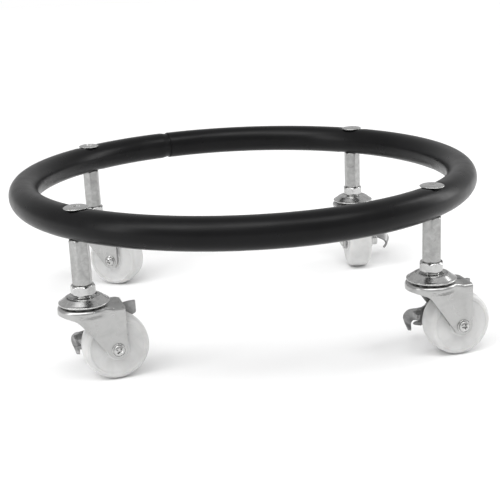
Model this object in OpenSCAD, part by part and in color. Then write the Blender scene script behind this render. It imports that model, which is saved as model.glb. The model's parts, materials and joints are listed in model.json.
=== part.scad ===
// Drum dolly: a tubular steel ring carried by four braked swivel casters
// that are screwed into hexagonal legs. The ring's axis is Z and the floor is z = 0.

/* [Ring] */
// Outside diameter of the ring
ring_od = 400; // [360:5:480]
// Outside diameter of the tube that the ring is bent from
tube_od = 25.4; // [22:0.1:28]
// Wall thickness of the tube
tube_wall = 1.5; // [1.2:0.1:2.5]
// Depth of the flat pressed into the tube above and below each leg
flat_depth = 1.2; // [0.8:0.1:1.3]

/* [Legs] */
// Height of the ring's centre line above the floor
ring_z = 124.8; // [118:0.2:150]
// Width across the flats of each hexagonal leg
leg_af = 14; // [13:0.5:16]
// Diameter of each screw's flat head
head_d = 19; // [16:0.5:22]

/* [Casters] */
// Diameter of each wheel
wheel_d = 52; // [48:0.2:52]
// Width of each wheel
wheel_w = 22; // [18:0.5:22]
// Distance from the swivel axis back to the axle
trail = 21; // [19:0.5:22]
// Thickness of the fork's sheet steel
sheet = 2.3; // [2:0.1:2.6]
// Diameter of the top race
race_d = 39; // [37:0.5:41]
// Number of balls in each ring of balls
ball_count = 12; // [8:1:14]

/* [Hidden] */
$fn = 64;
tube_r = tube_od / 2;
ring_r = ring_od / 2 - tube_r;
seat_z = ring_z + tube_r - flat_depth;
leg_top = ring_z - tube_r + flat_depth;
wheel_r = wheel_d / 2;
axle_z = wheel_r;

// Screws, legs and lock nuts.
screw_r = 4.2;
screw_depth = 14;
head_h = 2.2;
head_rim = 0.6;
leg_bore = 16;
cut_over = 1;
chamfer = 1.1;
recess_step = 40;

// Swivel stack, from the lock nut down.
stem_r = 5;
collar_r = 6.3;
nut_z = 70;
nut_h = 7.6;
nut_af = 17.5;
leg_bottom = nut_z + nut_h;
race_z = 67.2;
race_rim_z = 63.4;
race_t = 1.6;
pan_z = 61.8;
plate_z = 60;
pan_r = 20.6;
pan_depth = 8;
lower_race_z = 55.1;
upper_track = 12.4;
lower_track = 9.6;
ball_gap = 0.3;
upper_ball_r = 2.2;
lower_ball_r = 1.4;
groove_half = 1.7;
upper_ball_z = pan_z + upper_ball_r - 0.4;
foot_r = 7.6;
foot_h = 1.6;

// Fork and axle.
fork_in = 12.2;
fork_out = fork_in + sheet;
strap_end_r = 7.6;
strap_front = -8.5;
axle_r = 3;
sleeve_r = 4.5;
bore_gap = 0.05;
plate_back = trail + 7.5;
plate_corner = 5;
bolt_end = 6.5;
bolt_head_r = 5.4;
bolt_head_h = 3;
axle_nut_af = 10;
axle_nut_h = 5.5;
hub_r = 9;
dish = 0.7;

// Brake lever, placed from the axle.
pivot_x = -8;
pivot_z = 19.5;
shoe_gap = 2.3;
shoe_t = 2;
shoe_angle = 172;
shoe_y = 8.5;
lever_y = 16.2;
lever_t = 2;
rivet_r = 2;
rivet_head_r = 3.6;
heel_x = 19.5;
heel_z = 18;
heel_h = 8.5;
heel_reach = 7;

// Each caster: the angle of its leg round the ring, and the way that its wheel trails.
leg_angles = [222.5, 314, 136.5, 47.5];
trail_angles = [11.5, 8.5, -26.5, -91.5];
// How far each leg's and each lock nut's corners are turned from its radial line.
leg_turn = [36, 1, 8, 50];
nut_turn = [4, 55, 14, 36];

// Moves a shape from the ring's axis out to leg i.
module at_leg(i) {
    rotate([0, 0, leg_angles[i]])
        translate([ring_r, 0, 0])
            children();
}

// Moves a shape from the caster's own frame, +X trailing, to caster i.
module at_caster(i) {
    at_leg(i)
        rotate([0, 0, trail_angles[i] - leg_angles[i]])
            children();
}

// Lays a flat outline of X and height upright, its near face at y and t thick.
module upright(y, t) {
    translate([0, y + t, 0])
        rotate([90, 0, 0])
            linear_extrude(t)
                children();
}

// A hexagonal prism with turned chamfers at both ends.
module hex_bar(across, z0, z1, chamfer) {
    corner = across / sqrt(3);
    inner = across / 2 + 0.1;
    intersection() {
        translate([0, 0, z0])
            cylinder(h = z1 - z0, r = corner, $fn = 6);
        rotate_extrude()
            polygon([[0, z0], [inner, z0], [corner + 0.01, z0 + chamfer],
                     [corner + 0.01, z1 - chamfer], [inner, z1], [0, z1]]);
    }
}

// ---- Ring, screws and legs ----

// The bent tube, flattened at the legs and drilled for the screws.
module ring() {
    color([0.07, 0.07, 0.07])
        difference() {
            rotate_extrude($fn = 128)
                translate([ring_r, ring_z])
                    difference() {
                        circle(r = tube_r);
                        circle(r = tube_r - tube_wall);
                    }
            for (i = [0 : 3])
                at_leg(i) {
                    translate([0, 0, seat_z])
                        cylinder(h = flat_depth + cut_over, r = head_d / 2 + cut_over);
                    translate([0, 0, leg_top - flat_depth - cut_over])
                        cylinder(h = flat_depth + cut_over, r = head_d / 2);
                    translate([0, 0, ring_z - tube_od])
                        cylinder(h = 2 * tube_od, r = stem_r + 0.2);
                }
        }
}

// One wide-headed screw with a cross recess, standing at the origin of leg i.
module ring_screw() {
    r = head_d / 2;
    rim_z = seat_z + head_rim;
    top = seat_z + head_h;
    foot = leg_top - screw_depth;
    difference() {
        rotate_extrude()
            polygon([[0, foot], [screw_r - 0.6, foot], [screw_r, foot + 1], [screw_r, seat_z],
                     [r - 2, seat_z], [r, rim_z], [r, rim_z + 0.5], [r - 1.2, top], [0, top]]);
        cross_recess(5.2, 1.1, seat_z + 0.3);
    }
}

// Cuts a cross recess, open above height z.
module cross_recess(length, width, z) {
    for (turn = [0, 90])
        rotate([0, 0, turn])
            translate([-length / 2, -width / 2, z])
                cube([length, width, 2 * bolt_head_h]);
}

// One screw above each leg.
module ring_screws() {
    color([0.78, 0.78, 0.80])
        for (i = [0 : 3])
            at_leg(i)
                rotate([0, 0, recess_step * (i + 0.6)])
                    ring_screw();
}

// A hexagonal standoff, threaded for the ring's screw above and the stem below.
module leg(i) {
    color([0.68, 0.68, 0.66])
        at_leg(i)
            rotate([0, 0, leg_turn[i]])
                difference() {
                    hex_bar(leg_af, leg_bottom, leg_top, chamfer);
                    translate([0, 0, leg_top - leg_bore])
                        cylinder(h = leg_bore + cut_over, r = screw_r);
                    translate([0, 0, leg_bottom - cut_over])
                        cylinder(h = leg_bore, r = stem_r);
                }
}

// One nut locking each stem in its leg.
module lock_nuts() {
    color([0.76, 0.76, 0.76])
        for (i = [0 : 3])
            at_leg(i)
                rotate([0, 0, nut_turn[i]])
                    difference() {
                        hex_bar(nut_af, nut_z, leg_bottom, chamfer);
                        translate([0, 0, nut_z - cut_over])
                            cylinder(h = nut_h + 2 * cut_over, r = stem_r);
                    }
}

// ---- Swivel ----

// The threaded stem with its collar; its foot is riveted over under the lower race.
module stem(i) {
    foot = lower_race_z - foot_h;
    tip = leg_bottom + leg_bore - 2.5;
    color([0.72, 0.72, 0.72])
        at_caster(i)
            rotate_extrude()
                polygon([[0, foot], [foot_r - 0.6, foot], [foot_r, foot + 0.6],
                         [foot_r, lower_race_z], [stem_r, lower_race_z], [stem_r, race_z],
                         [collar_r, race_z], [collar_r, nut_z], [stem_r, nut_z],
                         [stem_r, tip - 1], [stem_r - 1, tip], [0, tip]]);
}

// The stamped dish that rests on the upper balls: a sunk centre, a ridge, and a sloping rim.
module top_race(i) {
    r = race_d / 2;
    rim = race_rim_z;
    ridge = race_z + race_t;
    color([0.74, 0.74, 0.74])
        at_caster(i)
            rotate_extrude()
                polygon([[stem_r, race_z], [10.2, race_z], [11.2, ridge - 0.4], [12.6, ridge],
                         [13.8, ridge - 0.3], [15, ridge - 1.1], [r - 1.4, rim + 2.2],
                         [r, rim + 1.2], [r, rim], [r - 1.6, rim], [14.2, ridge - 2.3],
                         [13.4, race_z], [11.6, race_z], [10.8, race_z - race_t],
                         [stem_r, race_z - race_t]]);
}

// A ring of separate balls.
module balls(i, track, z, r) {
    color([0.8, 0.8, 0.8])
        at_caster(i)
            for (k = [0 : ball_count - 1])
                rotate([0, 0, 360 * k / ball_count])
                    translate([track, 0, z])
                        sphere(r = r, $fn = 24);
}

// The balls that the pan rides on, under the top race.
module upper_balls(i) {
    balls(i, upper_track, upper_ball_z, upper_ball_r);
}

// The smaller balls under the pan's crown.
module lower_balls(i) {
    balls(i, lower_track, pan_z - sheet - ball_gap - lower_ball_r, lower_ball_r);
}

// The grooved washer that closes the lower ring of balls, inside the fork's pan.
module lower_race(i) {
    outer = fork_in - ball_gap;
    groove = lower_race_z + 1;
    lip = lower_race_z + 2.2;
    color([0.7, 0.7, 0.7])
        at_caster(i)
            rotate_extrude()
                polygon([[stem_r, lower_race_z], [outer, lower_race_z], [outer, lip],
                         [lower_track + groove_half, lip], [lower_track + groove_half, groove],
                         [lower_track - groove_half, groove], [lower_track - groove_half, lip],
                         [stem_r, lip]]);
}

// ---- Fork and wheel ----

// The rear plate and the bends at its sides, seen from above.
module plate_outline() {
    polygon([[0, -fork_out], [plate_back, -fork_out], [plate_back, fork_out - plate_corner],
             [plate_back - plate_corner, fork_out], [0, fork_out]]);
    for (side = [0, 1])
        mirror([0, side])
            polygon([[0, 0], [3, pan_r - 0.4], [9, pan_r - 2.1], [14, fork_out + 1.2],
                     [19, fork_out], [19, 0]]);
}

// One side strap: it hangs from the crown, slopes back along its leading edge, and
// ends in a round eye about the axle.
module strap_outline() {
    hull() {
        translate([trail, axle_z])
            circle(r = strap_end_r, $fn = 32);
        translate([strap_front, pan_z - pan_depth])
            square([plate_back - strap_front, pan_depth - sheet - 1]);
    }
}

// The round pan: a flat crown with a short skirt.
module pan() {
    skirt_z = pan_z - pan_depth;
    rotate_extrude()
        polygon([[0, pan_z], [pan_r - 1.5, pan_z], [pan_r - 0.4, pan_z - 0.5], [pan_r, pan_z - 1.6],
                 [pan_r, skirt_z + 1], [pan_r - 0.6, skirt_z], [pan_r - sheet, skirt_z],
                 [pan_r - sheet, pan_z - sheet], [0, pan_z - sheet]]);
}

// The pressed fork: pan, rear plate and two straps, bored for the axle and the brake's pin.
module fork(i) {
    color([0.76, 0.76, 0.76])
        at_caster(i)
            difference() {
                union() {
                    pan();
                    difference() {
                        translate([0, 0, plate_z - sheet])
                            linear_extrude(sheet)
                                plate_outline();
                        translate([0, 0, plate_z - pan_depth])
                            cylinder(h = 2 * pan_depth, r = pan_r - sheet / 2);
                    }
                    for (y = [-fork_out, fork_in])
                        upright(y, sheet)
                            strap_outline();
                }
                translate([0, 0, pan_z - pan_depth])
                    cylinder(h = 2 * pan_depth, r = stem_r + 1.2);
                translate([0, 0, upper_ball_z])
                    rotate_extrude()
                        translate([upper_track, 0])
                            circle(r = upper_ball_r + ball_gap);
                cross_bore(trail, axle_z, axle_r);
                cross_bore(trail + pivot_x, axle_z + pivot_z, rivet_r);
            }
}

// Cuts a bore through both straps for a pin of radius r.
module cross_bore(x, z, r) {
    translate([x, 0, z])
        rotate([90, 0, 0])
            cylinder(h = 4 * fork_out, r = r + bore_gap, center = true);
}

// A pan-head bolt through both straps, with a cross recess in its head.
module axle_bolt(i) {
    foot = -2 * fork_out - bolt_end;
    r = bolt_head_r;
    color([0.72, 0.72, 0.72])
        at_caster(i)
            translate([trail, -fork_out, axle_z])
                rotate([90, 0, 0])
                    difference() {
                        rotate_extrude()
                            polygon([[0, foot], [axle_r - 0.5, foot], [axle_r, foot + 0.5],
                                     [axle_r, 0], [r, 0], [r, 1.1], [r - 0.8, 2.2],
                                     [r - 2.2, bolt_head_h - 0.2], [0, bolt_head_h]]);
                        rotate([0, 0, recess_step / 2])
                            cross_recess(4, 1, 1);
                    }
}

// The nut on the axle's far end, outside the far strap.
module axle_nut(i) {
    color([0.72, 0.72, 0.72])
        at_caster(i)
            translate([trail, fork_out, axle_z])
                rotate([-90, 0, 0])
                    difference() {
                        hex_bar(axle_nut_af, 0, axle_nut_h, chamfer / 2);
                        translate([0, 0, -cut_over])
                            cylinder(h = axle_nut_h + 2 * cut_over, r = axle_r);
                    }
}

// The spacer tube that the straps clamp, and that the wheel turns on.
module axle_sleeve(i) {
    color([0.66, 0.66, 0.64])
        at_caster(i)
            translate([trail, fork_in, axle_z])
                rotate([90, 0, 0])
                    difference() {
                        cylinder(h = 2 * fork_in, r = sleeve_r);
                        translate([0, 0, -cut_over])
                            cylinder(h = 2 * (fork_in + cut_over), r = axle_r);
                    }
}

// A solid nylon wheel with a crowned tread, round shoulders and shallow dished faces.
module wheel(i) {
    half = wheel_w / 2;
    color([0.92, 0.92, 0.90])
        at_caster(i)
            translate([trail, 0, axle_z])
                rotate([90, 0, 0])
                    rotate_extrude($fn = 96)
                        for (side = [0, 1])
                            mirror([0, side])
                                polygon([[sleeve_r + bore_gap, 0], [sleeve_r + bore_gap, half],
                                         [hub_r, half], [hub_r + 1, half - dish],
                                         [wheel_r - 6.5, half - dish],
                                         [wheel_r - 5, half - dish / 2],
                                         [wheel_r - 2.6, half - 1.2], [wheel_r - 1, half - 2.8],
                                         [wheel_r - 0.3, half - 5], [wheel_r, 1.5],
                                         [wheel_r, 0]]);
}

// ---- Brake ----

// Side view of the lever's plate, from its toe in front of the wheel to its heel behind.
module lever_plate_outline() {
    difference() {
        polygon([[-28.5, -5.5], [-22, -7.5], [-16, 1], [-12, 8], [-6, 12.5], [2, 14], [10, 14.5],
                 [19, 17], [21.5, 20], [21.5, 25], [19, 28], [11, 27.5], [6, 25], [-10, 25],
                 [-17, 19.5], [-21, 12], [-24.5, 6.5], [-30, 6.3], [-30, 2], [-24.5, 1.5], [-24.5, -2.5],
                 [-28.5, -4]]);
        translate([pivot_x, pivot_z])
            circle(r = rivet_r + bore_gap);
    }
}

// The stamped lever: its plate outside the strap, a foot pedal bent out in front,
// a heel tab bent out behind, and a shoe bent in that bears on the tread.
module brake_lever(i) {
    color([0.62, 0.62, 0.62])
        at_caster(i)
            translate([trail, 0, axle_z]) {
                upright(lever_y, lever_t)
                    lever_plate_outline();
                pedal();
                heel();
                shoe();
            }
}

// The pedal: a plate that sweeps out in front of the wheel, with its end turned down and back.
module pedal() {
    outer_top = [-28.5, lever_y + 22, -8];
    outer_low = [-24, lever_y + 20, -13];
    tip = [-26.5, lever_y + 16.5, -18];
    hull() {
        translate([-24.5, lever_y + 0.5, -2.5])
            cube([2, 1, 8]);
        pedal_corner(outer_top);
        pedal_corner(outer_low);
    }
    hull() {
        pedal_corner(outer_top);
        pedal_corner(outer_low);
        pedal_corner(tip);
    }
}

// One rounded corner of the pedal.
module pedal_corner(place) {
    translate(place)
        sphere(r = lever_t / 2, $fn = 20);
}

// The heel: a tab bent out from the plate's rear corner.
module heel() {
    translate([heel_x, lever_y + lever_t / 2, heel_z])
        cube([lever_t, heel_reach, heel_h]);
}

// The shoe: a tab bent in over the tread, which it meets when the pedal is pressed.
module shoe() {
    rotate([0, -shoe_angle, 0])
        translate([wheel_r + shoe_gap, shoe_y, -2])
            cube([shoe_t, lever_y + lever_t - shoe_y, 4]);
}

// A headed rivet that holds the lever on the strap.
module brake_rivet(i) {
    low = fork_in - 0.6;
    face = lever_y + lever_t - fork_in + 0.8;
    r = rivet_head_r;
    color([0.70, 0.70, 0.70])
        at_caster(i)
            translate([trail + pivot_x, low, axle_z + pivot_z])
                rotate([-90, 0, 0])
                    rotate_extrude()
                        polygon([[0, 0], [r - 0.6, 0], [r - 0.6, 0.6], [rivet_r, 0.6],
                                 [rivet_r, face], [r, face], [r - 0.4, face + 1],
                                 [0, face + 1.3]]);
}

ring();
ring_screws();
lock_nuts();
leg(0);  // leg_1
leg(1);  // leg_2
leg(2);  // leg_3
leg(3);  // leg_4

stem(0);  // stem_1
top_race(0);  // top_race_1
upper_balls(0);  // upper_balls_1
fork(0);  // fork_1
lower_balls(0);  // lower_balls_1
lower_race(0);  // lower_race_1
axle_bolt(0);  // axle_bolt_1
axle_nut(0);  // axle_nut_1
axle_sleeve(0);  // axle_sleeve_1
wheel(0);  // wheel_1
brake_lever(0);  // brake_lever_1
brake_rivet(0);  // brake_rivet_1

stem(1);  // stem_2
top_race(1);  // top_race_2
upper_balls(1);  // upper_balls_2
fork(1);  // fork_2
lower_balls(1);  // lower_balls_2
lower_race(1);  // lower_race_2
axle_bolt(1);  // axle_bolt_2
axle_nut(1);  // axle_nut_2
axle_sleeve(1);  // axle_sleeve_2
wheel(1);  // wheel_2
brake_lever(1);  // brake_lever_2
brake_rivet(1);  // brake_rivet_2

stem(2);  // stem_3
top_race(2);  // top_race_3
upper_balls(2);  // upper_balls_3
fork(2);  // fork_3
lower_balls(2);  // lower_balls_3
lower_race(2);  // lower_race_3
axle_bolt(2);  // axle_bolt_3
axle_nut(2);  // axle_nut_3
axle_sleeve(2);  // axle_sleeve_3
wheel(2);  // wheel_3
brake_lever(2);  // brake_lever_3
brake_rivet(2);  // brake_rivet_3

stem(3);  // stem_4
top_race(3);  // top_race_4
upper_balls(3);  // upper_balls_4
fork(3);  // fork_4
lower_balls(3);  // lower_balls_4
lower_race(3);  // lower_race_4
axle_bolt(3);  // axle_bolt_4
axle_nut(3);  // axle_nut_4
axle_sleeve(3);  // axle_sleeve_4
wheel(3);  // wheel_4
brake_lever(3);  // brake_lever_4
brake_rivet(3);  // brake_rivet_4
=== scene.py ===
import json
import math

import bmesh
import bpy
from mathutils import Matrix, Vector


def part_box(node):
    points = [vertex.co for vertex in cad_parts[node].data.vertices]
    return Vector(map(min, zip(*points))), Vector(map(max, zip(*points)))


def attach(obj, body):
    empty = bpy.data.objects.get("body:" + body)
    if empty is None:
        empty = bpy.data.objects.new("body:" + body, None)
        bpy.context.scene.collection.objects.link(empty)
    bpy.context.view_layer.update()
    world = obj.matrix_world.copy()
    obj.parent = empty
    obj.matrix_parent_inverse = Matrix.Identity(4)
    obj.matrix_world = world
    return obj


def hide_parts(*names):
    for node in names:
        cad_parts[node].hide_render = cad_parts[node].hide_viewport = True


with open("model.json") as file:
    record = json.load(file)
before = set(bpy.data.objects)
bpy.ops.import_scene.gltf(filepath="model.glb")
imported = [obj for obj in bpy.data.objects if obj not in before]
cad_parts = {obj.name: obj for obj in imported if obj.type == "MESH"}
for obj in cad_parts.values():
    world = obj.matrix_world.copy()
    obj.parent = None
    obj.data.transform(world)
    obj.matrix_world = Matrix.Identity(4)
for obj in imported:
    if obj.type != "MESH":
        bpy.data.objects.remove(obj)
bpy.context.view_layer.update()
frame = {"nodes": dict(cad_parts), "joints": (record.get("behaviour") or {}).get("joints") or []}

MM = 0.001
UP = Vector((0, 0, 1))
CASTERS = (1, 2, 3, 4)


# ---- Sizes, in millimetres, read from the frame ----

def mm_box(node):
    """Lowest and highest corner of a CAD node, in millimetres."""
    low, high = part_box(node)
    return low / MM, high / MM


RING_LOW, RING_HIGH = mm_box("ring")
TUBE_R = (RING_HIGH.z - RING_LOW.z) / 2
RING_Z = (RING_HIGH.z + RING_LOW.z) / 2
RING_R = (RING_HIGH.x - RING_LOW.x) / 2 - TUBE_R
HEAD_TOP = mm_box("ring_screws")[1].z
LEG_LOW, LEG_TOP = mm_box("leg_1")[0].z, mm_box("leg_1")[1].z
NUT_LOW, NUT_TOP = mm_box("lock_nuts")[0].z, mm_box("lock_nuts")[1].z
RACE_LOW, RACE_TOP = mm_box("top_race_1")[0].z, mm_box("top_race_1")[1].z
RACE_R = (mm_box("top_race_1")[1].x - mm_box("top_race_1")[0].x) / 2
PAN_Z = mm_box("fork_1")[1].z
WHEEL_R = (mm_box("wheel_1")[1].z - mm_box("wheel_1")[0].z) / 2
FOOT_TOP = mm_box("lower_race_1")[0].z
JOINTS = {joint["name"]: joint for joint in frame["joints"]}

# Sizes that no box gives. The brake's pivot is (along the trail, up) from the axle.
FLAT_DEPTH = 1.2
LEG_AF = 14.0
NUT_AF = 17.5
HEAD_R = 9.5
STEM_R = 5.0
COLLAR_R = 6.3
FOOT_R = 7.6
PAN_R = 20.6
PLATE_STEP = 1.8
STRAP_Y = 14.5
SHEET = 2.3
EYE_R = 7.6
WHEEL_HALF = 11.0
LEVER_Y = 17.2
LEVER_T = 2.0
PIVOT = (-8.0, 19.5)


def swivel_point(i):
    return Vector(JOINTS[f"swivel_{i}"]["pos_m"])


def trail_direction(i):
    """The way that caster i's wheel trails: level, and square to its axle."""
    return Vector(JOINTS[f"wheel_spin_{i}"]["axis"]).cross(UP).normalized()


def trail(i):
    """How far the axle lies behind the swivel axis, in millimetres."""
    offset = Vector(JOINTS[f"wheel_spin_{i}"]["pos_m"]) - swivel_point(i)
    return Vector((offset.x, offset.y, 0)).length / MM


TRAIL = trail(1)
AXLE_Z = JOINTS["wheel_spin_1"]["pos_m"][2] / MM


def caster_frame(i):
    """Takes millimetres in caster i's own frame, +X trailing and +Z up, to the shared frame."""
    heading = trail_direction(i)
    base = swivel_point(i)
    base.z = 0
    turn = Matrix.Rotation(math.atan2(heading.y, heading.x), 4, "Z")
    return Matrix.Translation(base) @ turn @ Matrix.Scale(MM, 4)


def leg_frame(i, spin=0.0):
    """The same for the leg above caster i, turned by spin degrees from its radial line of
    the ring."""
    base = swivel_point(i)
    base.z = 0
    turn = Matrix.Rotation(math.atan2(base.y, base.x) + math.radians(spin), 4, "Z")
    return Matrix.Translation(base) @ turn @ Matrix.Scale(MM, 4)


def axle_frame(i, side):
    """Caster i's axle: +Z points out of the strap on that side, from the wheel's middle plane."""
    lay = Matrix.Rotation(math.radians(-90 * side), 4, "X")
    return caster_frame(i) @ Matrix.Translation((TRAIL, 0, AXLE_Z)) @ lay


# ---- Shapes, built in millimetres ----

def smooth(t):
    t = min(max(t, 0.0), 1.0)
    return t * t * (3 - 2 * t)


def mix(a, b, t):
    return a + (b - a) * t


def fillet(corners, closed=True, steps=4):
    """Rounds an outline. Each corner is (x, y) or (x, y, radius)."""
    points = []
    count = len(corners)
    for k, corner in enumerate(corners):
        here = Vector(corner[:2])
        radius = corner[2] if len(corner) > 2 else 0.0
        if radius <= 0 or (not closed and k in (0, count - 1)):
            points.append(here)
            continue
        back = Vector(corners[k - 1][:2]) - here
        ahead = Vector(corners[(k + 1) % count][:2]) - here
        half = back.angle(ahead) / 2
        reach = min(radius / math.tan(half), 0.48 * back.length, 0.48 * ahead.length)
        start = here + back.normalized() * reach
        end = here + ahead.normalized() * reach
        for j in range(steps + 1):
            t = j / steps
            points.append(start * (1 - t) ** 2 + here * 2 * t * (1 - t) + end * t * t)
    return points


def skin(bm, loops, closed_loops=True, closed_around=True):
    """Joins equal rows of vertices with quads."""
    rows = len(loops)
    for a in range(rows if closed_around else rows - 1):
        row, following = loops[a], loops[(a + 1) % rows]
        count = len(row)
        for k in range(count if closed_loops else count - 1):
            quad = (row[k], row[(k + 1) % count], following[(k + 1) % count], following[k])
            quad = list(dict.fromkeys(quad))
            if len(quad) > 2:
                bm.faces.new(quad)


def lathe(profile, segments=96):
    """Turns a closed (radius, height) outline about Z. A point on the axis makes one vertex."""
    bm = bmesh.new()
    loops = []
    for radius, height in profile:
        if radius < 1e-6:
            loops.append([bm.verts.new((0, 0, height))] * segments)
            continue
        angles = [math.tau * k / segments for k in range(segments)]
        loops.append([bm.verts.new((radius * math.cos(a), radius * math.sin(a), height))
                      for a in angles])
    for k, loop in enumerate(loops):
        following = loops[(k + 1) % len(loops)]
        if len(set(loop)) == 1 and len(set(following)) == 1:
            continue
        skin(bm, [loop, following], closed_around=False)
    bmesh.ops.recalc_face_normals(bm, faces=bm.faces)
    return bm


def hex_bar(across, low, high, slope, bore, corner_cut=0.3, per_face=10):
    """A hexagonal bar with turned ends: each end's cone cuts curved arcs into the flats."""
    corner = across / math.sqrt(3) - corner_cut
    end_r = across / 2 * 0.97
    chamfer = (corner - end_r) / slope
    steps = 7
    rise = [chamfer * 1.05 * k / steps for k in range(steps + 1)]
    levels = [low + r for r in rise] + [high - r for r in reversed(rise)]
    bm = bmesh.new()

    def ring(radius_at, height):
        loop = []
        for k in range(6 * per_face):
            angle = math.tau * k / (6 * per_face)
            r = radius_at(angle)
            loop.append(bm.verts.new((r * math.cos(angle), r * math.sin(angle), height)))
        return loop

    def flats(angle):
        fold = (angle + math.pi / 6) % (math.pi / 3) - math.pi / 6
        return min(across / 2 / math.cos(fold), corner)

    loops = []
    for z in levels:
        cone = end_r + slope * min(z - low, high - z)
        loops.append(ring(lambda a, cone=cone: min(flats(a), cone), z))
    loops.append(ring(lambda a: bore, high))
    loops.append(ring(lambda a: bore, low))
    skin(bm, loops)
    bmesh.ops.recalc_face_normals(bm, faces=bm.faces)
    return bm


def tapered_bar(length, width, depth, taper):
    """One arm of a cross recess: a bar that narrows with depth, its mouth above z = 0."""
    bm = bmesh.new()
    rows = []
    for z, k in ((1.0, 1.0), (0.0, 1.0), (-depth, taper)):
        x, y = length / 2 * k, width / 2 * (0.6 + 0.4 * k)
        rows.append([bm.verts.new(p) for p in ((-x, -y, z), (x, -y, z), (x, y, z), (-x, y, z))])
    skin(bm, rows, closed_around=False)
    bm.faces.new(rows[0])
    bm.faces.new(rows[-1])
    bmesh.ops.recalc_face_normals(bm, faces=bm.faces)
    return bm


def as_object(bm, name):
    mesh = bpy.data.meshes.new(name)
    bm.to_mesh(mesh)
    bm.free()
    thing = bpy.data.objects.new(name, mesh)
    bpy.context.scene.collection.objects.link(thing)
    return thing


def settle(thing):
    """Applies an object's modifiers to its mesh."""
    bpy.context.view_layer.update()
    graph = bpy.context.evaluated_depsgraph_get()
    made = bpy.data.meshes.new_from_object(thing.evaluated_get(graph))
    thing.modifiers.clear()
    thing.data = made
    return thing


def carve(bm, cutters, name):
    """Cuts each cutter out of a shape and returns what is left."""
    base = as_object(bm, name)
    for k, cutter in enumerate(cutters):
        tool = as_object(cutter, f"{name}_cutter_{k}")
        step = base.modifiers.new("cut", "BOOLEAN")
        step.operation = "DIFFERENCE"
        step.solver = "EXACT"
        step.object = tool
        settle(base)
        bpy.data.objects.remove(tool)
    left = bmesh.new()
    left.from_mesh(base.data)
    bpy.data.objects.remove(base)
    return left


def cross_recess(height, length, width, depth, turn):
    """Two crossed cutters whose mouth lies at that height."""
    arms = []
    for angle in (turn, turn + 90):
        arm = tapered_bar(length, width, depth, taper=0.55)
        place = Matrix.Translation((0, 0, height)) @ Matrix.Rotation(math.radians(angle), 4, "Z")
        bmesh.ops.transform(arm, matrix=place, verts=arm.verts)
        arms.append(arm)
    return arms


def add(name, bm, place, body, slot, nodes, bevel=0.0, angle=35):
    """Turns a shape into a finished piece: placed, bevelled, shaded, and riding on its body.
    The slot picks its material, and nodes are the CAD nodes that it replaces."""
    bmesh.ops.transform(bm, matrix=place, verts=bm.verts)
    piece = as_object(bm, name)
    if bevel:
        step = piece.modifiers.new("bevel", "BEVEL")
        step.width = bevel * MM
        step.segments = 2
        step.limit_method = "ANGLE"
        step.angle_limit = math.radians(angle)
        settle(piece)
    piece.data.shade_smooth()
    piece.data.set_sharp_from_angle(angle=math.radians(angle))
    piece.data.materials.clear()
    piece.data.materials.append(MATERIALS[slot])
    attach(piece, body)
    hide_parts(*nodes)


# ---- Materials ----

class Finish:
    """A Principled material whose nodes are added one at a time."""

    def __init__(self, name, **sockets):
        self.material = bpy.data.materials.new(name)
        self.material.use_nodes = True
        self.nodes = self.material.node_tree.nodes
        self.links = self.material.node_tree.links
        self.shader = self.nodes["Principled BSDF"]
        self.coords = self.nodes.new("ShaderNodeTexCoord").outputs["Object"]
        for socket, value in sockets.items():
            self.shader.inputs[socket.replace("_", " ")].default_value = value

    def stretched(self, scale):
        """Object coordinates, stretched."""
        node = self.nodes.new("ShaderNodeMapping")
        node.inputs["Scale"].default_value = scale
        self.links.new(self.coords, node.inputs["Vector"])
        return node.outputs["Vector"]

    def noise(self, size_mm, detail=3.0, roughness=0.55, distortion=0.0, vector=None):
        """Fractal noise whose main features are about size_mm across."""
        node = self.nodes.new("ShaderNodeTexNoise")
        node.inputs["Scale"].default_value = 1 / (size_mm * MM)
        node.inputs["Detail"].default_value = detail
        node.inputs["Roughness"].default_value = roughness
        node.inputs["Distortion"].default_value = distortion
        self.links.new(vector or self.coords, node.inputs["Vector"])
        return node.outputs["Fac"]

    def cells(self, size_mm):
        """Voronoi distance, for pits and fine grain."""
        node = self.nodes.new("ShaderNodeTexVoronoi")
        node.inputs["Scale"].default_value = 1 / (size_mm * MM)
        self.links.new(self.coords, node.inputs["Vector"])
        return node.outputs["Distance"]

    def ramp(self, source, stops):
        """Maps a factor to colours or greys; each stop is (position, value)."""
        node = self.nodes.new("ShaderNodeValToRGB")
        self.links.new(source, node.inputs["Fac"])
        elements = node.color_ramp.elements
        while len(elements) < len(stops):
            elements.new(0.5)
        for element, (position, value) in zip(elements, stops):
            colour = (value,) * 3 if isinstance(value, float) else value
            element.position = position
            element.color = (*colour, 1.0)
        return node.outputs["Color"]

    def drive(self, socket, source):
        self.links.new(source, self.shader.inputs[socket])

    def bump(self, source, depth_mm, strength=1.0, under=None):
        node = self.nodes.new("ShaderNodeBump")
        node.inputs["Distance"].default_value = depth_mm * MM
        node.inputs["Strength"].default_value = strength
        self.links.new(source, node.inputs["Height"])
        if under is not None:
            self.links.new(under, node.inputs["Normal"])
        self.links.new(node.outputs["Normal"], self.shader.inputs["Normal"])
        return node.outputs["Normal"]


def powder_coat():
    """Satin black powder coat: orange peel about two millimetres across, and fine grain."""
    f = Finish("powder_coat", Specular_IOR_Level=0.16)
    f.drive("Base Color", f.ramp(f.noise(30.0), [(0.3, (0.003, 0.003, 0.0033)),
                                                 (0.7, (0.0055, 0.0055, 0.006))]))
    f.drive("Roughness", f.ramp(f.noise(9.0), [(0.3, 0.27), (0.75, 0.34)]))
    under = f.bump(f.noise(2.2, detail=2.0), 0.06, 0.3)
    f.bump(f.cells(0.55), 0.02, 0.3, under)
    return f.material


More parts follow.
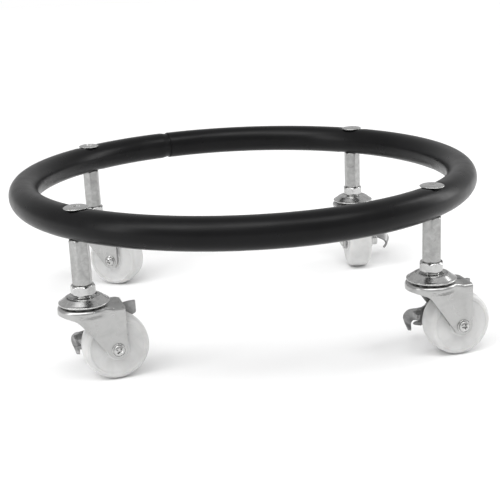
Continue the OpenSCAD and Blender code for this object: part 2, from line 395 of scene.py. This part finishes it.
def plated_steel(name, bright, dull, rough, mottle_mm, grain=(1, 1, 1), bump_mm=0.006,
                 grain_mm=1.2):
    """Zinc plate: cloudy patches and a fine grain, which can run one way."""
    f = Finish(name, Metallic=1.0)
    clouds = f.noise(mottle_mm, detail=4.0, distortion=0.6)
    f.drive("Base Color", f.ramp(clouds, [(0.28, dull), (0.55, bright), (0.8, dull)]))
    brushed = f.noise(grain_mm, detail=4.0, roughness=0.6, vector=f.stretched(grain))
    f.drive("Roughness", f.ramp(brushed, [(0.25, rough[0]), (0.75, rough[1])]))
    f.bump(brushed, bump_mm, 0.5)
    return f.material


def galvanised():
    """Dull zinc on the hexagonal legs: mottled patches, streaks and small pits."""
    f = Finish("galvanised", Metallic=0.9)
    patches = f.noise(5.0, detail=6.0, roughness=0.65, distortion=0.8)
    f.drive("Base Color", f.ramp(patches, [(0.25, (0.29, 0.29, 0.285)), (0.5, (0.39, 0.39, 0.385)),
                                           (0.75, (0.50, 0.50, 0.495))]))
    streaks = f.noise(1.5, detail=4.0, roughness=0.7, vector=f.stretched((1, 1, 0.12)))
    f.drive("Roughness", f.ramp(streaks, [(0.25, 0.26), (0.75, 0.44)]))
    under = f.bump(streaks, 0.05, 0.5)
    f.bump(f.cells(1.4), 0.04, 0.25, under)
    return f.material


def nylon():
    """Milky moulded nylon: light that soaks in a little, and a faint flow pattern."""
    f = Finish("nylon", Subsurface_Weight=0.35, Subsurface_Scale=0.004,
               Subsurface_Radius=(1.0, 0.95, 0.85), IOR=1.53)
    flow = f.noise(14.0, detail=3.0, distortion=1.2)
    f.drive("Base Color", f.ramp(flow, [(0.3, (0.55, 0.55, 0.545)), (0.7, (0.63, 0.63, 0.625))]))
    f.drive("Roughness", f.ramp(f.noise(5.0), [(0.3, 0.30), (0.7, 0.42)]))
    f.bump(f.noise(1.1, detail=3.0), 0.02, 0.35)
    return f.material


MATERIALS = {
    "black_powder_coat": powder_coat(),
    "bright_zinc": plated_steel("bright_zinc", (0.56, 0.56, 0.555), (0.46, 0.46, 0.455),
                                (0.16, 0.28), 5.0),
    "zinc_fork": plated_steel("zinc_fork", (0.46, 0.46, 0.455), (0.40, 0.40, 0.395),
                              (0.26, 0.32), 12.0, grain=(1, 1, 0.35), bump_mm=0.002, grain_mm=3.0),
    "brake_steel": plated_steel("brake_steel", (0.31, 0.31, 0.31), (0.23, 0.23, 0.23),
                                (0.32, 0.46), 6.0, bump_mm=0.004, grain_mm=2.0),
    "ball_steel": plated_steel("ball_steel", (0.70, 0.70, 0.70), (0.62, 0.62, 0.62),
                               (0.10, 0.16), 3.0),
    "galvanised_leg": galvanised(),
    "white_nylon": nylon(),
}


# ---- Ring, screws and legs ----

# The ring's joint: its angle in degrees, the lip rolled in at the tube's open end, and the
# neck that enters it and rises back to full size.
JOINT_ANGLE = 108.0
LIP, LIP_DROP = 0.8, 0.25
NECK, NECK_DEPTH, NECK_RISE = 1.2, 0.75, 7.0

# The flat at each leg: its radius and the blend beyond it. The screw's head sits in it.
FLAT_REACH, FLAT_BLEND = 8.5, 6.5
SCREW_SEAT, SCREW_SHANK_R = 2.2, 4.2


def tube_radius(arc):
    """The tube's radius at a distance along the ring from its swaged joint.
    Behind the joint is the open end with its rolled lip; ahead of it, the neck that enters it."""
    neck_r = TUBE_R - NECK_DEPTH - LIP_DROP
    if arc < -LIP:
        return TUBE_R
    if arc < 0:
        return TUBE_R - LIP_DROP * smooth((arc + LIP) / LIP)
    if arc < NECK:
        return neck_r
    return mix(neck_r, TUBE_R, smooth((arc - NECK) / NECK_RISE))


def ring_stations():
    """Angles round the ring, in degrees, crowded at the joint."""
    fine = [JOINT_ANGLE + math.degrees(arc / RING_R)
            for arc in (-LIP, -0.55, -0.3, -0.1, 0.0, 0.03, 0.4, 0.8, NECK, 2, 3, 4, 5, 6, 7,
                        NECK + NECK_RISE)]
    coarse_step, gap = 0.6, 0.22
    coarse = [k * coarse_step for k in range(round(360 / coarse_step))]
    return sorted(fine + [a for a in coarse if all(abs(a - b) > gap for b in fine)])


def ring_mesh():
    """The bent tube, with a flat pressed in above and below each leg."""
    around = 72
    edge_drop, edge_width = 0.12, 0.4
    legs = [swivel_point(i) / MM for i in CASTERS]
    bm = bmesh.new()
    loops = []
    for degrees in ring_stations():
        angle = math.radians(degrees)
        radius = tube_radius(math.radians(degrees - JOINT_ANGLE) * RING_R)
        outward = Vector((math.cos(angle), math.sin(angle), 0))
        loop = []
        for k in range(around):
            turn = math.tau * k / around
            spot = outward * (RING_R + radius * math.cos(turn))
            height = radius * math.sin(turn)
            reach = min(math.hypot(spot.x - p.x, spot.y - p.y) for p in legs)
            limit = TUBE_R - FLAT_DEPTH * (1 - smooth((reach - FLAT_REACH) / FLAT_BLEND))
            soft = max(limit - abs(height), 0)
            drop = edge_drop * math.exp(-soft / edge_width)
            height = math.copysign(min(abs(height), limit) - drop, height)
            loop.append(bm.verts.new((spot.x, spot.y, RING_Z + height)))
        loops.append(loop)
    skin(bm, loops)
    bmesh.ops.recalc_face_normals(bm, faces=bm.faces)
    return bm


def ring_screw_mesh(turn):
    """A wide flat-headed screw: thin rim, conical underside, cross recess."""
    seat = HEAD_TOP - SCREW_SEAT
    head = lathe(fillet([(0, HEAD_TOP), (5.5, HEAD_TOP - 0.02, 1),
                         (HEAD_R - 1.2, HEAD_TOP - 0.35, 0.8), (HEAD_R, HEAD_TOP - 1.15, 0.35),
                         (HEAD_R - 0.15, HEAD_TOP - 1.6, 0.2), (HEAD_R - 2.4, seat, 0.4),
                         (SCREW_SHANK_R, seat, 0.2), (SCREW_SHANK_R, seat - 6), (0, seat - 6)],
                        closed=False), 96)
    recess = cross_recess(HEAD_TOP, length=6.4, width=1.5, depth=1.7, turn=turn)
    return carve(head, recess, "ring_screw")


# How far each corner's leg, lock nut and screw recess are turned, in degrees.
HEX_TURN = (36, 1, 8, 50)
NUT_TURN = (4, 55, 14, 36)
RECESS_TURN = (25, 65, 105, 145)

add("tube_ring", ring_mesh(), Matrix.Scale(MM, 4), "frame", "black_powder_coat", ["ring"],
    angle=50)
for i in CASTERS:
    add(f"ring_screw_{i}", ring_screw_mesh(RECESS_TURN[i - 1]), leg_frame(i), "frame",
        "bright_zinc", ["ring_screws"], bevel=0.12)
    add(f"hex_leg_{i}", hex_bar(LEG_AF, LEG_LOW, LEG_TOP, slope=0.9, bore=STEM_R),
        leg_frame(i, HEX_TURN[i - 1] + 30), "frame", "galvanised_leg", [f"leg_{i}"], angle=20)
    add(f"hex_nut_{i}", hex_bar(NUT_AF, NUT_LOW, NUT_TOP, slope=1.1, bore=STEM_R),
        leg_frame(i, NUT_TURN[i - 1] + 30), "frame", "bright_zinc", ["lock_nuts"], angle=20)


# ---- Swivel ----

RACE_FLOOR = RACE_TOP - 1.4
RACE_SHEET = 1.4


def collar_mesh():
    """The stem with the round collar between the lock nut and the top race, and its foot."""
    return lathe(fillet([(0, NUT_TOP - 1), (STEM_R - 0.1, NUT_TOP - 1), (STEM_R - 0.1, NUT_LOW),
                         (COLLAR_R - 0.8, NUT_LOW), (COLLAR_R, NUT_LOW - 0.8, 0.5),
                         (COLLAR_R, RACE_FLOOR + 0.3, 0.3), (STEM_R - 0.1, RACE_FLOOR - 0.2, 0.3),
                         (STEM_R - 0.1, FOOT_TOP), (FOOT_R, FOOT_TOP, 0.2),
                         (FOOT_R, FOOT_TOP - 1.2, 0.6), (FOOT_R - 0.8, FOOT_TOP - 1.5, 0.4),
                         (0, FOOT_TOP - 1.6)], closed=False), 72)


def race_mesh():
    """The stamped dish: sunk floor, rolled ridge, and a dome that falls to a thin rim."""
    top, floor, t = RACE_TOP, RACE_FLOOR, RACE_SHEET
    outer = [(STEM_R, floor), (9.8, floor, 0.8), (11.3, top - 0.25, 0.8), (12.6, top, 1.2),
             (14.2, top - 0.7, 2.0), (RACE_R - 1.6, RACE_LOW + 1.9, 3.0),
             (RACE_R, RACE_LOW + 1.0, 0.5), (RACE_R, RACE_LOW, 0.3)]
    under = [(RACE_R - 1.2, RACE_LOW, 0.3), (14.0, top - 0.9 - t, 1.0), (12.6, top - t - 0.2, 0.6),
             (11.4, floor - t + 0.9, 0.6), (10.0, floor - t, 0.6), (STEM_R, floor - t)]
    return lathe(fillet(outer + under), 144)


# ---- Fork ----

# Along the trail: the plate's rear edge, the straps' crease, and the step down from the pan
# to the plate.
REAR = TRAIL + 7.5
CREASE_X = 14.0
STEP_X, STEP_LENGTH = 13.5, 8.0

# The strap's leading edge starts here, ahead of the swivel axis and below the pan's top. The
# skirt round the pan is shorter.
STRAP_FRONT, STRAP_DROP = -8.5, 8.0
SKIRT, SKIRT_DROP = 5.4, 1.6

# The outline leaves the round pan at this angle, in degrees.
LEAVE_ANGLE = 58.0
BEND_R = 2.6
STEM_HOLE_R = 6.4
CORNER_CUT = 5.0

# How the straps flare ahead of their crease, and where the walls are drawn in to meet them.
NEAR_FLARE, FAR_FLARE, CREASE_SOFTNESS = 0.13, 0.05, 0.6
DRAW_FRONT, DRAW_LENGTH = -13.0, 7.0

# Stamped marks: a dimple in the plate, and a boss and a pit on a near strap, (along, up).
DIMPLE_X, DIMPLE_DEPTH = 23.5, 0.5
BOSS, BOSS_R, BOSS_HEIGHT = (-2.0, 51.0), 2.4, 0.45
PIT, PIT_R, PIT_DEPTH = (-6.2, 56.6), 1.25, 0.9


def outline_half():
    """The fork's upper outline on one side, from the front of the pan to the plate's rear
    corner: (x, y, outward normal x, outward normal y)."""
    points = []
    pan_steps, side_steps, rear_steps = 60, 20, 12
    leave = math.radians(LEAVE_ANGLE)
    for k in range(pan_steps + 1):
        angle = mix(math.pi, leave, k / pan_steps)
        points.append((PAN_R * math.cos(angle), PAN_R * math.sin(angle),
                       math.cos(angle), math.sin(angle)))
    x0, y0 = PAN_R * math.cos(leave), PAN_R * math.sin(leave)
    x1, y1 = TRAIL + 0.5, STRAP_Y
    slope = -math.cos(leave) / math.sin(leave) * (x1 - x0)
    for k in range(1, side_steps + 1):
        t = k / side_steps
        y = (y0 * (2 * t ** 3 - 3 * t ** 2 + 1) + slope * (t ** 3 - 2 * t ** 2 + t)
             + y1 * (3 * t ** 2 - 2 * t ** 3))
        dy = ((6 * t * t - 6 * t) * y0 + slope * (3 * t * t - 4 * t + 1)
              + (6 * t - 6 * t * t) * y1) / (x1 - x0)
        normal = Vector((-dy, 1)).normalized()
        points.append((mix(x0, x1, t), y, normal.x, normal.y))
    points += [(mix(x1, REAR, k / rear_steps), y1, 0.0, 1.0) for k in range(1, rear_steps + 1)]
    return points


def crown_height(x):
    """The top face: flat over the pan, then a step down to the rear plate."""
    return PAN_Z - PLATE_STEP * smooth((x - STEP_X) / STEP_LENGTH)


def soft_min(a, b, blend):
    return -blend * math.log(math.exp(-a / blend) + math.exp(-b / blend))


def skirt_bottom(x):
    """Where the sheet ends below each point of the outline: a short skirt round the pan, then
    a strap whose leading edge slopes back to a round eye about the axle."""
    start_x, start_z = STRAP_FRONT, PAN_Z - STRAP_DROP
    reach = math.hypot(TRAIL - start_x, AXLE_Z - start_z)
    heading = math.atan2(AXLE_Z - start_z, TRAIL - start_x) - math.asin(EYE_R / reach)
    tangent_x = start_x + math.sqrt(reach ** 2 - EYE_R ** 2) * math.cos(heading)
    if x >= tangent_x:
        return AXLE_Z - math.sqrt(max(EYE_R ** 2 - (x - TRAIL) ** 2, 0))
    skirt = PAN_Z - SKIRT - SKIRT_DROP * smooth((x + PAN_R) / (PAN_R + start_x))
    return soft_min(skirt, start_z + (x - start_x) * math.tan(heading), blend=1.6)


def strap_face(x, side):
    """How far out a strap's face stands: it flares ahead of its crease."""
    slope = NEAR_FLARE if side < 0 else FAR_FLARE
    ahead = min((CREASE_X - x) / CREASE_SOFTNESS, 60)
    return STRAP_Y + slope * math.log1p(math.exp(ahead)) * CREASE_SOFTNESS


def stamped_mark(x, z):
    """The raised boss and the round pit beside it on a near strap."""
    boss = BOSS_HEIGHT * math.exp(-(math.hypot(x - BOSS[0], z - BOSS[1]) / BOSS_R) ** 4)
    pit = PIT_DEPTH * math.exp(-(math.hypot(x - PIT[0], z - PIT[1]) / PIT_R) ** 4)
    return boss - pit


def fork_column(bm, x, y, nx, ny, side, wall):
    """One strip of the sheet: from the stem's hole out to the edge, round the bend and down."""
    top_steps, bend_steps, wall_steps = 12, 6, 40
    edge = Vector((x - nx * BEND_R, (y - ny * BEND_R) * side))
    start = edge.normalized() * STEM_HOLE_R
    verts = []
    for k in range(top_steps + 1):
        spot = start.lerp(edge, k / top_steps)
        dimple = DIMPLE_DEPTH * math.exp(-((spot.x - DIMPLE_X) ** 2 + spot.y ** 2) / 1.6)
        verts.append(bm.verts.new((spot.x, spot.y, crown_height(spot.x) - dimple)))
    if not wall:
        return verts
    top = crown_height(x)
    for k in range(1, bend_steps + 1):
        turn = math.pi / 2 * k / bend_steps
        inset = BEND_R * (1 - math.sin(turn))
        height = top - BEND_R * (1 - math.cos(turn))
        verts.append(bm.verts.new((x - nx * inset, (y - ny * inset) * side, height)))
    low = skirt_bottom(x)
    high = top - BEND_R
    for k in range(1, wall_steps + 1):
        z = mix(high, low, k / wall_steps)
        drawn = smooth((high - z) / DRAW_LENGTH) * smooth((x - DRAW_FRONT) / DRAW_LENGTH)
        face = min(y, strap_face(x, side)) if x < CREASE_X else strap_face(x, side)
        mark = stamped_mark(x, z) if side < 0 else 0.0
        verts.append(bm.verts.new((x, (mix(y, face, drawn) + mark) * side, z)))
    return verts


def fork_mesh():
    """The pressed sheet as one surface."""
    bm = bmesh.new()
    half = outline_half()
    near = [fork_column(bm, *point, -1, True) for point in half]
    far = [fork_column(bm, *point, 1, True) for point in half[1:]]
    inner_y = STRAP_Y - BEND_R
    rear_steps = 14
    rear = [fork_column(bm, REAR, mix(-inner_y, inner_y, k / rear_steps), 0, 0, 1, False)
            for k in range(1, rear_steps)]
    top_rows = len(rear[0])
    skin(bm, list(reversed(near)) + far, closed_loops=False, closed_around=False)
    tops = [far[-1][:top_rows]] + list(reversed(rear)) + [near[-1][:top_rows]]
    skin(bm, tops, closed_loops=False, closed_around=False)
    bmesh.ops.remove_doubles(bm, verts=bm.verts, dist=0.001)
    bmesh.ops.recalc_face_normals(bm, faces=bm.faces)
    if max(bm.faces, key=lambda face: face.calc_center_median().z).normal.z < 0:
        bmesh.ops.reverse_faces(bm, faces=bm.faces)
    return bm


def wedge(corners, low, high):
    """An upright prism."""
    bm = bmesh.new()
    rows = [[bm.verts.new((x, y, z)) for x, y in corners] for z in (low, high)]
    skin(bm, rows, closed_around=False)
    for row in rows:
        bm.faces.new(row)
    bmesh.ops.recalc_face_normals(bm, faces=bm.faces)
    return bm


def fork_solid():
    """The sheet with its thickness, and the far corner of its plate cut away."""
    corner = wedge([(REAR + 1, STRAP_Y - CORNER_CUT - 1), (REAR + 1, STRAP_Y + 1),
                    (REAR - CORNER_CUT - 1, STRAP_Y + 1)], PAN_Z - 7.5, PAN_Z + 1)
    return carve(thicken(fork_mesh(), SHEET, "fork"), [corner], "fork_blank")


def thicken(bm, thickness, name, offset=-1.0):
    """Gives a sheet its thickness."""
    sheet = as_object(bm, name)
    step = sheet.modifiers.new("thickness", "SOLIDIFY")
    step.thickness = thickness
    step.offset = offset
    step.use_even_offset = True
    settle(sheet)
    solid = bmesh.new()
    solid.from_mesh(sheet.data)
    bpy.data.objects.remove(sheet)
    return solid


# ---- Axle and wheel ----

AXLE_R = 3.0
AXLE_HEAD_R = 5.4
AXLE_TAIL = 6.0
AXLE_NUT_AF = 10.0
AXLE_NUT_T = 5.5


def axle_head_mesh(turn):
    """A flanged pan head with a cross recess, and the shank behind it."""
    face = STRAP_Y
    head = lathe(fillet([(0, face + 3.0), (2.4, face + 2.9, 1.0), (4.1, face + 2.1, 0.9),
                         (4.3, face + 0.7, 0.1), (4.7, face + 0.7, 0.1), (4.9, face + 1.2, 0.15),
                         (AXLE_HEAD_R, face + 0.9, 0.3), (AXLE_HEAD_R, face), (AXLE_R, face),
                         (AXLE_R, -STRAP_Y - AXLE_TAIL, 0.3), (0, -STRAP_Y - AXLE_TAIL - 0.4)],
                        closed=False), 72)
    recess = cross_recess(face + 2.95, length=5.4, width=1.5, depth=2.1, turn=turn)
    return carve(head, recess, "axle_head")


def wheel_mesh():
    """A moulded wheel: crowned tread, round shoulders, shallow dished faces, raised hub."""
    r, h = WHEEL_R, WHEEL_HALF
    half = [(4.6, h - 0.1, 0.1), (5.1, h, 0.3), (8.4, h, 0.5), (9.4, h - 0.8, 0.6),
            (r - 5.6, h - 0.75, 1.5), (r - 4.6, h - 0.15, 0.8), (r - 2.6, h - 0.8, 1.6),
            (r - 0.75, h - 3.4, 2.6), (r - 0.02, 1.2, 6.0)]
    other = [(x, -y, *rest) for x, y, *rest in reversed(half)]
    return lathe(fillet(half + other, steps=7), 144)


# ---- Brake ----

# Where the lever's plate divides into pedal, heel tab and shoe, and how far the shoe's middle
# surface is from the tread.
LEVER_ROOT = -22.0
SHOE_GAP = 3.1


def curve_through(points, t):
    """Catmull-Rom through the points, t from 0 at the first to 1 at the last."""
    span = t * (len(points) - 1)
    k = min(int(span), len(points) - 2)
    u = span - k
    p1, p2 = points[k], points[k + 1]
    p0 = points[k - 1] if k else p1 * 2 - p2
    p3 = points[k + 2] if k + 2 < len(points) else p2 * 2 - p1
    return 0.5 * (2 * p1 + (p2 - p0) * u + (2 * p0 - 5 * p1 + 4 * p2 - p3) * u ** 2
                  + (3 * p1 - p0 - 3 * p2 + p3) * u ** 3)


def ribbon(bm, stations, across, steps):
    """A strip of sheet: each station is (upper edge, lower edge)."""
    upper = [Vector(a) for a, b in stations]
    lower = [Vector(b) for a, b in stations]
    rows = []
    for k in range(steps + 1):
        a, b = curve_through(upper, k / steps), curve_through(lower, k / steps)
        rows.append([bm.verts.new(a.lerp(b, j / across)) for j in range(across + 1)])
    skin(bm, rows, closed_loops=False, closed_around=False)


def lever_mesh():
    """The stamped brake lever: one plate, with a pedal swept out in front, a flat heel tab
    behind, and a shoe bent in across the tread. Placed from the axle."""
    y, root = LEVER_Y, LEVER_ROOT
    top, slit, bottom = 7.6, -3.0, -7.2
    bm = bmesh.new()
    plate = [((root, y, top), (root, y, bottom)), ((-18.2, y, 9.6), (-17, y, -3.5)),
             ((-15.4, y, 14), (-13.5, y, 3)), ((-12.2, y, 20.4), (-9.5, y, 9)),
             ((-5, y, 24), (-4, y, 12.4)), ((4, y, 25), (4, y, 13.6)),
             ((11, y, 26.6), (11, y, 14.4)), ((16.5, y, 27.4), (17, y, 15.8)),
             ((19.5, y + 0.3, 27.2), (19.8, y + 0.3, 16.8)),
             ((20.8, y + 2, 26.4), (21, y + 2, 17.8)), ((21.2, y + 5, 25.8), (21.3, y + 5, 18.4)),
             ((21.2, y + 7.5, 25.2), (21.3, y + 7.5, 19))]
    ribbon(bm, plate, 15, 66)
    pedal = [((root, y, top), (root, y, slit)), ((-23.7, y + 0.8, 7.4), (-22.5, y + 1, -3.2)),
             ((-25.2, y + 3.6, 6.2), (-22.7, y + 4, -4)),
             ((-26.6, y + 8.5, 4.3), (-22.7, y + 9, -5.4)),
             ((-27.6, y + 14, 1.6), (-22.3, y + 13.6, -7.2)),
             ((-28.2, y + 18.5, -2), (-22.2, y + 16.6, -9.4)),
             ((-28.3, y + 20.8, -6), (-22.5, y + 17.8, -11.6)),
             ((-27.8, y + 20.4, -10), (-22.9, y + 17.6, -13.4)),
             ((-26.8, y + 18.4, -13.6), (-23.2, y + 16.4, -15.2)),
             ((-26, y + 16.2, -16.6), (-23.6, y + 15.2, -16.6))]
    ribbon(bm, pedal, 11, 48)
    heel = [((root, y, slit), (root, y, bottom)), ((-25, y, -3.3), (-25, y, -6.6)),
            ((-27.2, y, -3.8), (-27.2, y, -6)), ((-28.4, y, -4.6), (-28.4, y, -5.6))]
    ribbon(bm, heel, 4, 12)
    contact = -WHEEL_R - SHOE_GAP
    shoe = [((root, y, 5.6), (root, y, 1.6)), ((-24.4, y, 5.6), (-24.4, y, 1.6)),
            ((contact + 2.0, y - 0.2, 5.6), (contact + 2.0, y - 0.2, 1.8)),
            ((contact + 0.8, y - 1.2, 5.5), (contact + 0.7, y - 1.2, 2.0)),
            ((contact + 0.5, y - 3.2, 5.4), (contact + 0.3, y - 3.2, 2.2)),
            ((contact + 0.5, y - 8.6, 5.4), (contact + 0.3, y - 8.6, 2.4))]
    ribbon(bm, shoe, 4, 30)
    bmesh.ops.remove_doubles(bm, verts=bm.verts, dist=0.01)
    bmesh.ops.recalc_face_normals(bm, faces=bm.faces)
    return thicken(bm, LEVER_T, "lever", offset=0.0)


def rivet_mesh():
    """The brake's rivet, from inside the strap to its domed head outside the lever."""
    low, high = 12.0, LEVER_Y + LEVER_T / 2
    inner_r, shank_r, head_r = 3.0, 2.0, 3.6
    return lathe(fillet([(0, low), (inner_r, low, 0.2), (inner_r, low + 0.5, 0.1),
                         (shank_r, low + 0.5), (shank_r, high), (head_r, high, 0.1),
                         (head_r, high + 0.8, 0.5), (2.4, high + 1.6, 0.8), (0, high + 1.8)],
                        closed=False), 48)


# ---- Casters ----

FORK = fork_solid()
LEVER = lever_mesh()

for i in CASTERS:
    here = caster_frame(i)
    at_axle = here @ Matrix.Translation((TRAIL, 0, AXLE_Z))
    swivel, spin, brake = f"caster_{i}", f"wheel_body_{i}", f"brake_body_{i}"
    add(f"stem_collar_{i}", collar_mesh(), here, "frame", "bright_zinc", [f"stem_{i}"], bevel=0.1)
    add(f"race_dish_{i}", race_mesh(), here, "frame", "bright_zinc", [f"top_race_{i}"], angle=50)
    add(f"pressed_fork_{i}", FORK.copy(), here, swivel, "zinc_fork", [f"fork_{i}"],
        bevel=0.3, angle=40)
    add(f"axle_head_{i}", axle_head_mesh(turn=20 + 31 * i), axle_frame(i, -1), swivel,
        "bright_zinc", [f"axle_bolt_{i}"], bevel=0.08)
    add(f"axle_hex_nut_{i}",
        hex_bar(AXLE_NUT_AF, STRAP_Y, STRAP_Y + AXLE_NUT_T, slope=1.1, bore=AXLE_R),
        axle_frame(i, 1), swivel, "bright_zinc", [f"axle_nut_{i}"], angle=20)
    add(f"nylon_wheel_{i}", wheel_mesh(), axle_frame(i, 1), spin, "white_nylon",
        [f"wheel_{i}"], angle=60)
    add(f"brake_plate_{i}", LEVER.copy(), at_axle, brake, "brake_steel",
        [f"brake_lever_{i}"], bevel=0.25, angle=50)
    add(f"rivet_head_{i}", rivet_mesh(),
        axle_frame(i, 1) @ Matrix.Translation((PIVOT[0], -PIVOT[1], 0)), swivel, "bright_zinc",
        [f"brake_rivet_{i}"], angle=50)
    for node in ("upper_balls", "lower_balls", "lower_race", "axle_sleeve"):
        part = frame["nodes"][f"{node}_{i}"]
        part.data.materials.clear()
        part.data.materials.append(MATERIALS["ball_steel" if "balls" in node else "bright_zinc"])


# ---- Floor, light and camera ----

FLOOR_HALF = 6.0
AMBIENT = 0.58
SURROUND = 1.0


def stage_floor():
    bm = bmesh.new()
    half = FLOOR_HALF
    bm.faces.new([bm.verts.new(p) for p in ((-half, -half, 0), (half, -half, 0),
                                            (half, half, 0), (-half, half, 0))])
    floor = as_object(bm, "studio_floor")
    paint = Finish("studio_white", Roughness=0.8)
    paint.drive("Base Color", paint.ramp(paint.noise(400.0), [(0.3, 0.93), (0.7, 0.95)]))
    floor.data.materials.append(paint.material)


def soft_box(name, place, target, size, power):
    light = bpy.data.lights.new(name, "AREA")
    light.shape = "RECTANGLE"
    light.size, light.size_y = size
    light.energy = power
    lamp = bpy.data.objects.new(name, light)
    lamp.location = place
    lamp.rotation_mode = "QUATERNION"
    lamp.rotation_quaternion = (Vector(target) - Vector(place)).to_track_quat("-Z", "Y")
    bpy.context.scene.collection.objects.link(lamp)


def distant_light(name, heading, strength, spread):
    """A sun whose disc is spread degrees across."""
    sun = bpy.data.lights.new(name, "SUN")
    sun.energy = strength
    sun.angle = math.radians(spread)
    lamp = bpy.data.objects.new(name, sun)
    lamp.rotation_mode = "QUATERNION"
    lamp.rotation_quaternion = Vector(heading).to_track_quat("-Z", "Y")
    bpy.context.scene.collection.objects.link(lamp)


def studio():
    """A pale surround, a broad soft light from the upper left, a row of smaller ones from high
    in front, and two strip lights."""
    world = bpy.data.worlds.new("studio")
    bpy.context.scene.world = world
    world.use_nodes = True
    nodes, links = world.node_tree.nodes, world.node_tree.links
    backdrop = nodes["Background"]
    seen = nodes.new("ShaderNodeLightPath").outputs["Is Camera Ray"]
    level = nodes.new("ShaderNodeMapRange")
    level.inputs["To Min"].default_value = AMBIENT
    level.inputs["To Max"].default_value = SURROUND
    links.new(seen, level.inputs["Value"])
    links.new(level.outputs["Result"], backdrop.inputs["Strength"])
    backdrop.inputs["Color"].default_value = (1.0, 1.0, 1.0, 1.0)
    distant_light("soft_sun", (0.35, 0.45, -1), strength=0.7, spread=55)
    for k in (-1, 0, 1):
        distant_light(f"high_sun_{k + 2}", (0.5 * k, 0.42, -0.9), strength=0.45, spread=24)
    middle = (0, 0, RING_Z * MM)
    soft_box("left_strip", (-1.3, -0.6, 0.7), middle, size=(0.3, 1.1), power=5)
    soft_box("right_strip", (1.3, 0.2, 0.6), middle, size=(0.3, 1.0), power=5)


def camera():
    """Stands where the ring's outline puts it: the angles are in degrees, the lens in
    millimetres, the rest in metres."""
    azimuth, elevation, roll = -6.1, 16.13, -2.5
    distance, aim_right, aim_down = 0.9144, 0.00648, 0.06398
    lens_mm = 75.5
    a, e, r = map(math.radians, (azimuth, elevation, roll))
    back = Vector((math.sin(a) * math.cos(e), -math.cos(a) * math.cos(e), math.sin(e)))
    level = Vector((math.cos(a), math.sin(a), 0))
    rise = back.cross(level)
    right = level * math.cos(r) + rise * math.sin(r)
    up = rise * math.cos(r) - level * math.sin(r)
    data = bpy.data.cameras.new("camera")
    data.lens = lens_mm
    lens = bpy.data.objects.new("camera", data)
    centre = Vector((0, 0, RING_Z * MM))
    place = centre + right * aim_right - up * aim_down + back * distance
    turn = Matrix((right, up, back)).transposed().to_4x4()
    lens.matrix_world = Matrix.Translation(place) @ turn
    bpy.context.scene.collection.objects.link(lens)
    bpy.context.scene.camera = lens


stage_floor()
studio()
camera()
scene = bpy.context.scene
scene.view_settings.view_transform = "Standard"
